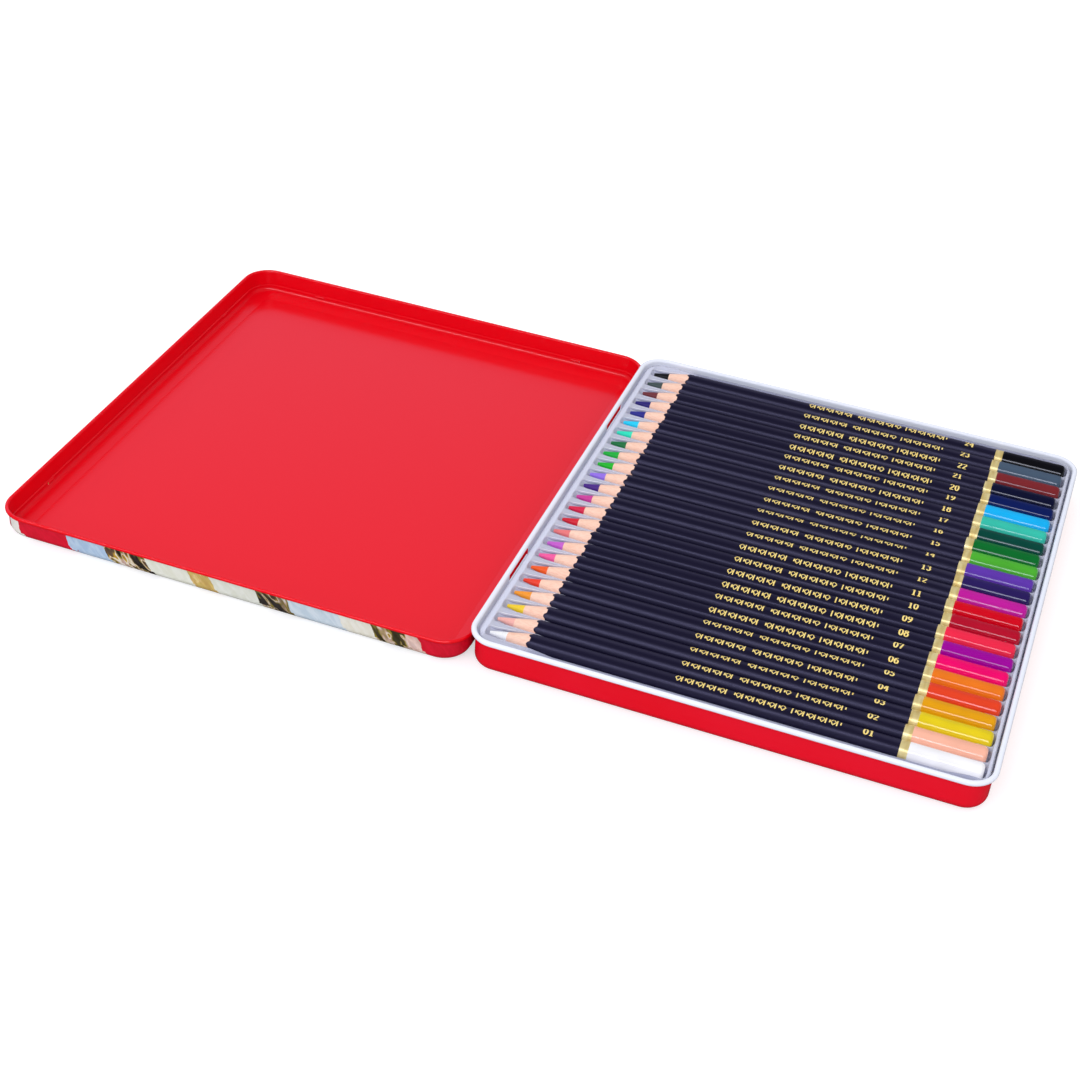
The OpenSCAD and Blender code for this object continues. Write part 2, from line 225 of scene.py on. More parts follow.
def swatch_print(tree, coords):
    """Upright swatches 8 to 20 mm wide with hand-drawn edges: brushed where calm, dabbed where busy."""
    wobble = node(tree, NOISE, {"Vector": coords["Object"], "Scale": 120.0, "Detail": 3.0}).outputs["Color"]
    push = node(tree, VECTOR, [wobble, (EDGE_PUSH * MM,) * 3], operation="MULTIPLY")
    drawn = node(tree, VECTOR, [coords["Object"], push], operation="ADD")
    spot = node(tree, SPLIT, [drawn]).outputs
    # A place's x and y give how far round the lid it is, and its height makes the swatches lean.
    tilt = node(tree, MATH, [spot[2], 0.4], operation="MULTIPLY")
    lean = node(tree, MATH, [spot[0], tilt], operation="ADD")
    around = node(tree, MATH, [lean, spot[1]], operation="SUBTRACT")
    repeats = node(tree, MATH, [around, 5.3], operation="MULTIPLY")
    along = node(tree, MATH, [repeats], operation="FRACT")
    # A swatch's alpha tells how busy it is.
    stops = [(start, linear(text)[:3] + [busy]) for start, text, busy in PRINT_SWATCHES]
    swatches = node(tree, RAMP, [along], stops)
    swatches.color_ramp.interpolation = "CONSTANT"
    # Brush strokes about 0.8 mm wide.
    turned = node(tree, "ShaderNodeVectorRotate", {"Vector": drawn, "Angle": 0.7}, rotation_type="Y_AXIS")
    stretch = node(tree, MAPPING, {"Vector": turned, "Scale": (1.0, 1.0, 0.3)})
    strokes = node(tree, NOISE, {"Vector": stretch, "Scale": 1000 / 1.6, "Detail": 3.0})
    brushed = node(tree, RAMP, [strokes], [(0.36, grey(0.2)), (0.5, grey(0.5)), (0.62, grey(0.8))])
    calm = node(tree, MIX, {0: 0.25, MIX_A: swatches, MIX_B: brushed}, data_type="RGBA", blend_type="OVERLAY")
    # Dabs about 1.4 mm across in earth colours.
    dabs = node(tree, "ShaderNodeTexVoronoi", {"Vector": stretch, "Scale": 700.0}, feature="SMOOTH_F1")
    pick = node(tree, "ShaderNodeSeparateColor", [dabs.outputs["Color"]])
    dabbed = node(tree, RAMP, [pick], [(position, linear(text)) for position, text in DAB_STOPS])
    busy = node(tree, MIX, {0: 0.6, MIX_A: dabbed, MIX_B: brushed}, data_type="RGBA", blend_type="OVERLAY")
    return node(tree, MIX, {0: swatches.outputs[1], MIX_A: calm, MIX_B: busy}, data_type="RGBA")


def printed_lid(red_hex):
    """Lithographed tinplate under clear varnish: red inside and over the rim, swatches of colour outside."""
    made, tree, shader, coords = new_material("lithographed_tinplate_lid")
    red = linear(red_hex)
    place = node(tree, SPLIT, [coords["Object"]]).outputs
    across = node(tree, MATH, [place[1]], operation="ABSOLUTE")
    under_roll = (LID_HIGH - LID_ROLL + 0.1) * MM
    below_roll = node(tree, MATH, [place[2], under_roll], operation="LESS_THAN")
    outside = node(tree, MATH, [outward(tree, coords, LID_X), below_roll], operation="MULTIPLY")
    # The middle of the hinge side, where the knuckles turn, has no print.
    near_hinge = node(tree, MATH, [place[0], BARE_X * MM], operation="GREATER_THAN")
    mid_side = node(tree, MATH, [across, BARE_HALF * MM], operation="LESS_THAN")
    bare = node(tree, MATH, [near_hinge, mid_side], operation="MULTIPLY")
    rest = node(tree, MATH, [1.0, bare], operation="SUBTRACT")
    printed = node(tree, MATH, [outside, rest], operation="MULTIPLY")
    # The middle of the lid's face is a plain red field with a fine cream line just inside its edge.
    from_middle = node(tree, MATH, [place[0], LID_X * MM], operation="SUBTRACT")
    from_middle = node(tree, MATH, [from_middle], operation="ABSOLUTE")
    past_end = node(tree, MATH, [from_middle, (LID_LEN / 2 - FRAME_WID) * MM], operation="SUBTRACT")
    past_side = node(tree, MATH, [across, (LID_WID / 2 - FRAME_WID) * MM], operation="SUBTRACT")
    past = node(tree, MATH, [past_end, past_side], operation="MAXIMUM")
    field = node(tree, MATH, [past, 0.0], operation="LESS_THAN")
    from_line = node(tree, MATH, [past, LINE_IN * MM], operation="ADD")
    from_line = node(tree, MATH, [from_line], operation="ABSOLUTE")
    line = node(tree, MATH, [from_line, LINE_WID / 2 * MM], operation="LESS_THAN")
    face = node(tree, MIX, {0: line, MIX_A: red, MIX_B: linear("efe6d2")}, data_type="RGBA")
    shade = node(tree, MIX, {0: field, MIX_A: swatch_print(tree, coords), MIX_B: face}, data_type="RGBA")
    ripple = node(tree, NOISE, {"Vector": coords["Object"], "Scale": 700.0, "Detail": 2.0})
    feed(shader, {
        "Base Color": node(tree, MIX, {0: printed, MIX_A: red, MIX_B: shade}, data_type="RGBA"),
        "Roughness": 0.2,
        "IOR": 1.5,
        "Normal": node(tree, BUMP, {"Height": ripple, "Strength": 0.2, "Distance": 0.02 * MM}),
    })
    return made


def clear_film():
    """Vacuum-formed clear sheet: see-through, faintly hazy and lavender, and mirror bright seen edge on, with a
    painted highlight along its folds and painted shade below them.
    """
    made, tree, shader, coords = new_material("vacuum_formed_clear_sheet")
    marks = node(tree, NOISE, {"Vector": coords["Object"], "Scale": 160.0, "Detail": 2.0})
    # The crest attribute is 1 along the folds, where a white highlight is painted, and -1 below them, where
    # dark shade is painted.
    crest = node(tree, "ShaderNodeAttribute", attribute_name="crest").outputs["Fac"]
    above = node(tree, MATH, [crest, 0.0], operation="MAXIMUM")
    folded = node(tree, MATH, [above, 1.4], operation="POWER")
    below = node(tree, MATH, [crest, 0.0], operation="MINIMUM")
    painted_fold_shade = node(tree, MATH, [below, below], operation="MULTIPLY")
    # Painted highlight: the film's colour goes to white along the folds. Painted shade: it goes to dark grey
    # below them.
    pale = node(tree, MIX, {0: folded, MIX_A: linear("dbdde9"), MIX_B: grey(1.0)}, data_type="RGBA")
    feed(shader, {
        "Base Color": node(tree, MIX, {0: painted_fold_shade, MIX_A: pale, MIX_B: linear("585a70")}, data_type="RGBA"),
        "Roughness": 0.07,
        "IOR": FILM_IOR,
        "Normal": node(tree, BUMP, {"Height": marks, "Strength": 0.3, "Distance": 0.15 * MM}),
    })
    # Between the pencils the sheet is stretched thin and clear; its ends keep their haze.
    place = node(tree, SPLIT, [coords["Object"]]).outputs
    offset = node(tree, MATH, [place[0], FILM_MID * MM], operation="SUBTRACT")
    offset = node(tree, MATH, [offset], operation="ABSOLUTE")
    ends = {"Value": offset, "From Min": 76.0 * MM, "From Max": 82.0 * MM, "To Min": 0.03, "To Max": 0.46}
    cloud = node(tree, RANGE, ends, interpolation_type="SMOOTHSTEP")
    gloss = node(tree, "ShaderNodeFresnel", {"IOR": FILM_IOR})
    haze = node(tree, RANGE, {"Value": gloss, "To Min": cloud, "To Max": 1.0})
    # The painted highlight and shade are made nearly opaque, so they stand over what lies beneath.
    painted_fold_marks = node(tree, MATH, [folded, painted_fold_shade], operation="MAXIMUM")
    painted_fold_marks = node(tree, MATH, [painted_fold_marks, 0.95], operation="MULTIPLY")
    seen = node(tree, MATH, [haze, painted_fold_marks], operation="MAXIMUM")
    # The haze scatters light but stops none of it, so nothing lies in the sheet's shade.
    rays = node(tree, "ShaderNodeLightPath").outputs
    lighting = node(tree, MATH, [rays["Is Shadow Ray"], rays["Is Diffuse Ray"]], operation="MAXIMUM")
    looking = node(tree, MATH, [1.0, lighting], operation="SUBTRACT")
    cover = node(tree, MATH, [seen, looking], operation="MULTIPLY")
    clear = node(tree, "ShaderNodeBsdfTransparent", {"Color": linear("f6f6fc")})
    blend = node(tree, "ShaderNodeMixShader", [cover, clear, shader])
    feed(tree.nodes["Material Output"], [blend])
    return made


def steel_wire():
    """Drawn steel wire: bright, with fine lines round it."""
    made, tree, shader, coords = new_material("drawn_steel_wire")
    grain = node(tree, NOISE, {"Vector": coords["Object"], "Scale": 3000.0})
    tone = node(tree, RANGE, {"Value": grain, "To Min": 0.22, "To Max": 0.4})
    feed(shader, {"Base Color": linear("c8c9cc"), "Metallic": 1.0, "Roughness": tone})
    return made


def turned_cedar():
    """Pencil wood cut by a sharpener: pale pink with grain about 0.35 mm apart along the pencil."""
    made, tree, shader, coords = new_material("sharpened_pencil_wood")
    stretch = node(tree, MAPPING, {"Vector": coords["Object"], "Scale": (0.08, 1, 1)})
    grain = node(tree, NOISE, {"Vector": stretch, "Scale": 2800.0, "Detail": 3.0})
    patch = node(tree, NOISE, {"Vector": coords["Object"], "Scale": 90.0})
    pale = node(tree, MIX, {0: patch, MIX_A: linear("fcd7c3"), MIX_B: linear("f4c4aa")}, data_type="RGBA")
    lines = node(tree, RAMP, [grain], [(0.35, linear("d69a80")), (0.55, grey(1.0))])
    grained = {0: 0.22, MIX_A: pale, MIX_B: lines}
    feed(shader, {
        "Base Color": node(tree, MIX, grained, data_type="RGBA", blend_type="MULTIPLY"),
        "Roughness": 0.62,
        "IOR": 1.45,
        "Normal": node(tree, BUMP, {"Height": grain, "Strength": 0.2, "Distance": 0.04 * MM}),
    })
    return made


def lacquer(dark_hex):
    """Several coats of satin lacquer on wood: blue black, with faint lines along the grain."""
    made, tree, shader, coords = new_material("satin_pencil_lacquer")
    stretch = node(tree, MAPPING, {"Vector": coords["Object"], "Scale": (0.03, 1, 1)})
    lines = node(tree, NOISE, {"Vector": stretch, "Scale": 1500.0, "Detail": 2.0})
    tones = {0: lines, MIX_A: linear(dark_hex), MIX_B: linear("17142c")}
    feed(shader, {
        "Base Color": node(tree, MIX, tones, data_type="RGBA"),
        "Roughness": node(tree, RANGE, {"Value": lines, "To Min": 0.32, "To Max": 0.38}),
        "IOR": 1.5,
        "Specular Tint": linear("dcd6ff"),
        "Normal": node(tree, BUMP, {"Height": lines, "Strength": 0.1, "Distance": 0.03 * MM}),
    })
    return made


def gold_paint():
    """Gold bronze paint rolled round the pencil: metallic, uneven in fine bands along it."""
    made, tree, shader, coords = new_material("gold_bronze_band")
    stretch = node(tree, MAPPING, {"Vector": coords["Object"], "Scale": (1, 0.25, 0.25)})
    bands = node(tree, NOISE, {"Vector": stretch, "Scale": 500.0, "Detail": 1.0})
    feed(shader, {
        "Base Color": node(tree, RAMP, [bands], [(0.3, linear("dcbf70")), (0.7, linear("f6e6a8"))]),
        "Metallic": 0.35,
        "Roughness": 0.3,
        "Normal": node(tree, BUMP, {"Height": bands, "Strength": 0.06, "Distance": 0.03 * MM}),
    })
    return made


def gold_foil():
    """Hot-stamped gold foil: thin, bright and slightly crazed."""
    made, tree, shader, coords = new_material("hot_stamped_gold_foil")
    craze = node(tree, NOISE, {"Vector": coords["Object"], "Scale": 2200.0, "Detail": 2.0})
    colour = node(tree, RAMP, [craze], [(0.3, linear("ffd05c")), (0.6, linear("ffec94"))])
    feed(shader, {"Base Color": colour, "Metallic": 0.05, "Roughness": 0.4})
    return made


def dipped_enamel(number, colour_hex):
    """Thick dipped enamel: glossy, self-levelled, with a slightly uneven tone."""
    made, tree, shader, coords = new_material("dipped_enamel_%02d" % number)
    tone = node(tree, NOISE, {"Vector": coords["Object"], "Scale": 140.0, "Detail": 1.0})
    colour = linear(colour_hex)
    deep = [c * 0.82 for c in colour[:3]] + [1.0]
    feed(shader, {
        "Base Color": node(tree, MIX, {0: tone, MIX_A: colour, MIX_B: deep}, data_type="RGBA"),
        "Roughness": 0.13,
        "IOR": 1.5,
        "Normal": node(tree, BUMP, {"Height": tone, "Strength": 0.05, "Distance": 0.1 * MM}),
    })
    return made


def pigment_core(number, colour_hex):
    """Pressed pigment and wax, cut to a cone: matt with a soft sheen and fine cutting marks."""
    made, tree, shader, coords = new_material("pigment_core_%02d" % number)
    marks = node(tree, NOISE, {"Vector": coords["Object"], "Scale": 1800.0, "Detail": 2.0})
    colour = linear(colour_hex)
    deep = [c * 0.78 for c in colour[:3]] + [1.0]
    feed(shader, {
        "Base Color": node(tree, MIX, {0: marks, MIX_A: colour, MIX_B: deep}, data_type="RGBA"),
        "Roughness": 0.42,
        "IOR": 1.46,
        "Normal": node(tree, BUMP, {"Height": marks, "Strength": 0.25, "Distance": 0.05 * MM}),
    })
    return made


def finish_piece(name, bm, materials, sharp_angle=35.0):
    """Makes an object of a bmesh in metres, smooth but for its sharp edges."""
    for edge in bm.edges:
        if len(edge.link_faces) == 2:
            edge.smooth = edge.calc_face_angle(0.0) < math.radians(sharp_angle)
    for face in bm.faces:
        face.smooth = True
    mesh = bpy.data.meshes.new(name)
    bm.to_mesh(mesh)
    bm.free()
    for material in materials:
        mesh.materials.append(material)
    piece = bpy.data.objects.new(name, mesh)
    bpy.context.scene.collection.objects.link(piece)
    return piece


def dress(name, material):
    """Gives a CAD node a material."""
    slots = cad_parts[name].data.materials
    slots.clear()
    slots.append(material)


# Angles of one facet's mesh lines, from the middle of the flat.
FLAT_EDGE = math.degrees(math.acos(FLAT_WID / CORNER_WID))
FACET_ANGLES = [-FLAT_EDGE, -FLAT_EDGE / 2, 0, FLAT_EDGE / 2, FLAT_EDGE, FLAT_EDGE + 5.5, 30, 55 - FLAT_EDGE]


def hexagon_radius(angle, coat=0.0, softness=0.0):
    """Radius of the hexagon in millimetres, at an angle from the middle of a flat; coats soften it."""
    folded = (angle + 30) % 60 - 30
    sharp = min(FLAT_WID / 2 / math.cos(math.radians(folded)), CORNER_WID / 2)
    return sharp + (CORNER_WID / 2 - 0.03 - sharp) * softness + coat


def pencil_point(number, x, angle, radius):
    """A point on a pencil in metres: x from its tip, angle from up towards the front."""
    turned = math.radians(angle)
    return Vector(
        (
            x - TIP_X + shift_of(number),
            row_y(number) - radius * math.sin(turned),
            PENCIL_Z + radius * math.cos(turned),
        )
    ) * MM


def casing_rings():
    """The rings of a casing, front to dipped end, as (material, x of each angle, radius of each angle)."""
    slope = (CORNER_WID / 2 - POINT_R) / CONE_LEN
    core_x = (CORE_R - POINT_R) / slope
    rings = []

    def edge(angle):
        """Where the sharpener's cone meets the hexagon."""
        return (hexagon_radius(angle) - POINT_R) / slope

    def add(slot, along, coat, softness):
        """Adds a ring with a coat of paint, at an x or at an x for each angle."""
        place = along if callable(along) else lambda angle: along
        rings.append((slot, place, lambda angle: hexagon_radius(angle, coat, softness)))

    for step in range(CONE_RINGS):
        part = step / (CONE_RINGS - 1)

        def along(angle, part=part):
            return core_x + (edge(angle) - core_x) * part

        rings.append((WOOD, along, lambda angle, along=along: POINT_R + slope * along(angle)))
    for ahead, coat in ((0.0, 0.05), (0.12, 0.08), (1.0, 0.06)):
        add(LACQUER, lambda angle, ahead=ahead: edge(angle) + ahead, coat, SOFT_LACQUER * ahead)
    for x in (18.0, 40.0, 80.0, 120.0, BAND_START - 0.05):
        add(LACQUER, x, 0.06, SOFT_LACQUER)
    for x, coat in ((BAND_START, 0.09), (BAND_START + 0.3, 0.1), (BAND_END - 0.1, 0.1)):
        add(GOLD, x, coat, SOFT_LACQUER)
    for past, coat in ((0, 0.1), (0.12, 0.15), (0.5, 0.18), (2, 0.15), (15.2, DIP_COAT)):
        add(DIP, BAND_END + past, coat, SOFT_DIP)
    for step in range(DOME_RINGS):
        turned = math.radians(90 * step / DOME_RINGS)
        back = DOME_LONG * (1 - math.cos(turned))
        add(DIP, PENCIL_LEN - DOME_LONG + DOME_LONG * math.sin(turned), DIP_COAT - back, SOFT_DIP)
    rings.append((DIP, lambda angle: PENCIL_LEN + 0.02, lambda angle: 1.2))
    return rings


def build_casing(number, materials):
    """One sharpened, lacquered and dipped casing."""
    bm = bmesh.new()
    roll = roll_of(number)
    angles = [facet * 60 + angle for facet in range(6) for angle in FACET_ANGLES]
    rings = casing_rings()
    made = []
    for _, along, radius in rings:
        made.append([bm.verts.new(pencil_point(number, along(a), a + roll + 30, radius(a))) for a in angles])
    for index in range(len(rings) - 1):
        first, second = made[index], made[index + 1]
        for k in range(len(angles)):
            after = (k + 1) % len(angles)
            face = bm.faces.new((first[k], first[after], second[after], second[k]))
            face.material_index = rings[index + 1][0]
    core_x = (CORE_R - POINT_R) * CONE_LEN / (CORNER_WID / 2 - POINT_R)
    for ring, x, slot in ((made[0], core_x + 0.3, WOOD), (made[-1], PENCIL_LEN + 0.04, DIP)):
        centre = bm.verts.new(pencil_point(number, x, 0, 0))
        for k in range(len(angles)):
            bm.faces.new((centre, ring[k], ring[(k + 1) % len(angles)])).material_index = slot
    bmesh.ops.recalc_face_normals(bm, faces=bm.faces)
    return finish_piece("casing_%02d" % number, bm, materials, 50.0)


# Half of a pocket's section, as turns in degrees round the crest of a ridge and then down the bowl.
CREST_TURNS = (0, 28, 50, 62, 74, 90)
BOWL_TURNS = (0, 8, 20, 34, 48, 62, 76, 90)
CREST_R = 1.2
# The painted highlight along the fold and the painted shade below it, as places along the section, and where
# they end.
FOLD_HIGHLIGHT_AND_SHADE = {3: 1, 6: -1}
FOLD_END, FOLD_FADE = -70.0, 6.0
# The ridges sink between the pencils.
RIDGE_DROP, DROP_START, DROP_END, DROP_LONG = 1.2, -70.0, 84.0, 8.0
SCOOP_LONG, TAIL_LONG = 3.4, 1.5
TIP_LONG, TIP_TAPER = 16.0, 0.1
SCOOP_R, SCALLOP_R = 4.43, 5.93
WELL_SIDES = 32


def pocket_part(x):
    """Half width and depth of a pocket at x, as parts of the full width and depth."""
    wide = POCKET_R - TIP_TAPER * max(0.0, POCKET_START + TIP_LONG - x)
    if x < POCKET_START + SCOOP_R:
        away = min(1.0, max(0.0, (POCKET_START + SCOOP_R - x) / SCOOP_R))
        wide = min(wide, SCOOP_R * math.sqrt(1 - away * away))
    if x > POCKET_END - SCALLOP_R:
        away = min(1.0, max(0.0, (x - POCKET_END + SCALLOP_R) / SCALLOP_R))
        wide = min(wide, SCALLOP_R * math.sqrt(1 - away * away))
    near = min((x - POCKET_START) / SCOOP_LONG, (POCKET_END - x) / TAIL_LONG, 1.0)
    deep = math.sqrt(1 - (1 - max(near, 0.0)) ** 2)
    return wide, deep


def half_section(x):
    """The film from a crest to the middle of a pocket, as (across, up) above and below, and the fold's painted
    highlight or shade.
    """
    wide, deep = pocket_part(x)
    half = PITCH / 2
    drop = RIDGE_DROP * min(1.0, max(0.0, min(x - DROP_START, DROP_END - x) / DROP_LONG))
    bare = min(1.0, max(0.0, (FOLD_END - x) / FOLD_FADE))
    rows = []
    for turn in CREST_TURNS:
        a = math.radians(turn)
        fall = min(half - wide, CREST_R) * (1 - math.cos(a)) * deep
        rows.append((half - (half - wide) * math.sin(a), FLANGE_Z - drop - fall))
    for turn in BOWL_TURNS:
        b = math.radians(turn)
        rows.append((wide * math.cos(b), FLANGE_Z - (FLANGE_Z - PENCIL_Z + POCKET_R * math.sin(b)) * deep))
    under_r = POCKET_R + FILM
    cusp = math.degrees(math.acos(half / under_r))
    section = []
    for k, (across, up) in enumerate(rows):
        turned = math.radians(cusp + (90 - cusp) * k / (len(rows) - 1))
        low = PENCIL_Z - under_r * math.sin(turned)
        low = FLANGE_Z - FILM - (FLANGE_Z - FILM - low) * deep
        section.append((across, up, under_r * math.cos(turned), low, FOLD_HIGHLIGHT_AND_SHADE.get(k, 0) * deep * bare))
    return section


def build_tray(material):
    """The formed sheet: round-bottomed pockets with soft crests between them, a flange, a skirt and wells."""
    bm = bmesh.new()
    stations = [POCKET_START - 0.5]
    stations += [POCKET_START + SCOOP_R * (1 - math.cos(math.radians(90 * k / 14))) for k in range(15)]
    stations += [-80.0, -76.0, POCKET_START + TIP_LONG, DROP_START, DROP_START + DROP_LONG]
    stations += [20.0, DROP_END - DROP_LONG]
    stations += [POCKET_END - SCALLOP_R * (1 - math.sin(math.radians(90 * k / 16))) for k in range(17)]
    stations = sorted(stations + [DROP_END])
    stations.append(POCKET_END + 0.5)
    # Each top vertex carries the fold's painted highlight (1) or painted shade (-1) in the crest attribute.
    crest = bm.verts.layers.float.new("crest")
    half_len, half_wid = (TRAY_END - TRAY_START) / 2, TRAY_WID / 2
    mid = (TRAY_END + TRAY_START) / 2

    def inside(x, y, inset):
        """The nearest place inside the tray's outline."""
        core_x, core_y = half_len - TRAY_CORNER_R, half_wid - TRAY_CORNER_R
        px, py = x - mid, y
        ox, oy = max(abs(px) - core_x, 0.0), max(abs(py) - core_y, 0.0)
        reach = math.hypot(ox, oy)
        limit = TRAY_CORNER_R - inset
        if reach > limit:
            px = math.copysign(min(abs(px), core_x) + ox * limit / reach, px)
            py = math.copysign(min(abs(py), core_y) + oy * limit / reach, py)
        return px + mid, py

    def outline(x, y, inset):
        """The place on the tray's outline next to a place near it."""
        core_x, core_y = half_len - TRAY_CORNER_R, half_wid - TRAY_CORNER_R
        px, py = x - mid, y
        cx, cy = math.copysign(min(abs(px), core_x), px), math.copysign(min(abs(py), core_y), py)
        if abs(px) <= core_x and abs(py) > core_y:
            cx = px
        ox, oy = px - cx, py - cy
        if abs(px) > core_x and abs(py) <= core_y:
            oy = 0.0
        reach = math.hypot(ox, oy) or 1.0
        limit = TRAY_CORNER_R - inset
        return cx + ox * limit / reach + mid, cy + oy * limit / reach

    tops, lows = [], []
    for x in stations:
        rows = half_section(x)
        top, low = [], []
        for number in range(1, COUNT + 1):
            centre = row_y(number)
            for side, part in ((-1, rows if number == 1 else rows[1:]), (1, rows[-2::-1])):
                for across, up, low_y, down, tone in part:
                    top.append(((*inside(x, centre + side * across, 0.02), up), tone))
                    low.append((*inside(x, centre + side * low_y, 0.02), down))
        tops.append([bm.verts.new(Vector(p) * MM) for p, _ in top])
        lows.append([bm.verts.new(Vector(p) * MM) for p in low])
        for vert, (_, tone) in zip(tops[-1], top):
            vert[crest] = tone
    count = len(tops[0])
    for a in range(len(stations) - 1):
        for b in range(count - 1):
            bm.faces.new((tops[a][b], tops[a + 1][b], tops[a + 1][b + 1], tops[a][b + 1]))
            bm.faces.new((lows[a][b + 1], lows[a + 1][b + 1], lows[a + 1][b], lows[a][b]))
    last = len(stations) - 1
    loop = [(0, b) for b in range(count)] + [(a, count - 1) for a in range(1, last + 1)]
    loop += [(last, b) for b in range(count - 2, -1, -1)] + [(a, 0) for a in range(last - 1, 0, -1)]
    upper = [tops[a][b] for a, b in loop]
    lower = [lows[a][b] for a, b in loop]
    rings = [upper]
    rounded = ((0.25, 0.0), (0.06, 0.08), (0.0, 0.3))
    skirt = ((0.0, SKIRT_HIGH), (FILM, SKIRT_HIGH), (FILM, FILM))
    for inset, fall in rounded + skirt:
        ring = []
        for vert in upper:
            x, y = outline(vert.co.x / MM, vert.co.y / MM, inset)
            ring.append(bm.verts.new(Vector((x, y, FLANGE_Z - fall)) * MM))
        rings.append(ring)
    rings.append(lower)
    for first, second in zip(rings, rings[1:]):
        for k in range(len(loop)):
            after = (k + 1) % len(loop)
            bm.faces.new((first[k], first[after], second[after], second[k]))
    for x in (-WELL_X, 0.0, WELL_X):
        for number in (6, COUNT - 5):
            add_well(bm, x, row_y(number))
    bmesh.ops.remove_doubles(bm, verts=bm.verts, dist=0.002 * MM)
    bmesh.ops.dissolve_degenerate(bm, edges=bm.edges, dist=0.001 * MM)
    bmesh.ops.recalc_face_normals(bm, faces=bm.faces)
    return finish_piece("formed_tray", bm, [material], 60.0)


def add_well(bm, x, y):
    """Adds one of the round wells that stand the tray on the floor of the tin."""
    turns = [2 * math.pi * k / WELL_SIDES for k in range(WELL_SIDES)]
    rings = []
    for z in (WELL_LOW, PENCIL_Z - POCKET_R):
        ring = [Vector((x + WELL_R * math.cos(t), y + WELL_R * math.sin(t), z)) * MM for t in turns]
        rings.append(([bm.verts.new(place) for place in ring], bm.verts.new(Vector((x, y, z)) * MM)))
    (low, _), (high, _) = rings
    for k in range(WELL_SIDES):
        after = (k + 1) % WELL_SIDES
        bm.faces.new((low[k], low[after], high[after], high[k]))
        for ring, middle in rings:
            bm.faces.new((middle, ring[k], ring[after]))


def arc(cx, cy, rx, ry, start, end, steps=14):
    """Points of an ellipse's arc, by angle in degrees."""
    turns = [math.radians(start + (end - start) * k / steps) for k in range(steps + 1)]
    return [(cx + rx * math.cos(t), cy + ry * math.sin(t)) for t in turns]


# Old-style figures as pen strokes in a box 0.56 wide and 1 high.
FIGURES = {
    "0": [arc(0.28, 0.5, 0.2, 0.46, 90, 450, 20)],
    "1": [[(0.1, 0.8), (0.27, 0.93)], [(0.28, 0.97), (0.28, 0.04)], [(0.1, 0.03), (0.46, 0.03)]],
    "2": [arc(0.27, 0.7, 0.19, 0.26, 165, -40) + [(0.07, 0.06)], [(0.06, 0.05), (0.5, 0.05)]],
    "3": [arc(0.26, 0.74, 0.17, 0.22, 160, -80), arc(0.26, 0.28, 0.2, 0.26, 85, -155)],
    "4": [
        [(0.36, 0.95), (0.05, 0.3)],
        [(0.04, 0.29), (0.53, 0.29)],
        [(0.38, 0.96), (0.38, 0.03)],
        [(0.24, 0.03), (0.5, 0.03)],
    ],
    "5": [[(0.15, 0.94), (0.47, 0.94)], [(0.15, 0.95), (0.12, 0.55)], arc(0.25, 0.31, 0.21, 0.28, 125, -150)],
    "6": [arc(0.5, 0.36, 0.42, 0.6, 95, 178, 8), arc(0.28, 0.3, 0.19, 0.27, 180, 540, 18)],
    "7": [[(0.06, 0.8), (0.06, 0.94)], [(0.06, 0.93), (0.5, 0.93)], [(0.49, 0.93), (0.22, 0.03)]],
    "8": [arc(0.27, 0.75, 0.15, 0.2, 90, 450, 16), arc(0.27, 0.28, 0.2, 0.25, 90, 450, 18)],
    "9": [arc(0.06, 0.64, 0.42, 0.6, -85, -2, 8), arc(0.28, 0.7, 0.19, 0.27, 0, 360, 18)],
}
FIGURE_HIGH, FIGURE_STEP = 3.2, 1.95
PEN_THIN, PEN_THICK, PEN_STEP = 0.085, 0.19, 0.16
FOIL_THICK, FOIL_GROUP, FOIL_GAP = 0.025, 14, 1.9
RING_WID, BAR_WID = 0.42, 0.46


def facet_up(number):
    """Angle from up towards the front of the facet that carries the foil."""
    facing = roll_of(number) + 30
    return facing - 60 if facing > 30 else facing


def foil_point(number, x, across, lift):
    """A point of the foil: across is measured round the pencil from the middle of its facet."""
    angle = math.degrees(math.atan2(across, FLAT_WID / 2))
    return pencil_point(number, x, facet_up(number) - angle, hexagon_radius(angle, 0.06 + lift, SOFT_LACQUER))


def build_number(number, material):
    """The stamped number of one pencil, as thin raised ribbons."""
    bm = bmesh.new()
    for place, digit in enumerate("%02d" % number):
        for stroke in FIGURES[digit]:
            points = []
            for (ax, ay), (bx, by) in zip(stroke, stroke[1:]):
                pieces = max(1, int(math.hypot(bx - ax, by - ay) / PEN_STEP))
                points += [(ax + (bx - ax) * k / pieces, ay + (by - ay) * k / pieces) for k in range(pieces)]
            points.append(stroke[-1])
            rows = []
            for k, (px, py) in enumerate(points):
                before, after = points[max(k - 1, 0)], points[min(k + 1, len(points) - 1)]
                dx, dy = after[0] - before[0], after[1] - before[1]
                size = math.hypot(dx, dy) or 1.0
                half = (PEN_THIN + (PEN_THICK - PEN_THIN) * abs(dy) / size) / 2
                row = []
                for side in (-1, 1):
                    ox, oy = px - side * half * dy / size, py + side * half * dx / size
                    x = NUMBER_START + place * FIGURE_STEP + ox * FIGURE_HIGH
                    across = (oy - 0.5) * FIGURE_HIGH
                    faces = (0.0, FOIL_THICK)
                    row.append([bm.verts.new(foil_point(number, x, across, lift)) for lift in faces])
                rows.append(row)
            for first, second in zip(rows, rows[1:]):
                (a0, a1), (b0, b1) = first
                (c0, c1), (d0, d1) = second
                for corners in ((a1, b1, d1, c1), (a0, c0, d0, b0), (a0, a1, c1, c0), (b0, d0, d1, b1)):
                    bm.faces.new(corners)
            for (a0, a1), (b0, b1) in (rows[0], rows[-1]):
                bm.faces.new((a0, b0, b1, a1))
    bmesh.ops.recalc_face_normals(bm, faces=bm.faces)
    return finish_piece("number_%02d" % number, bm, [material])


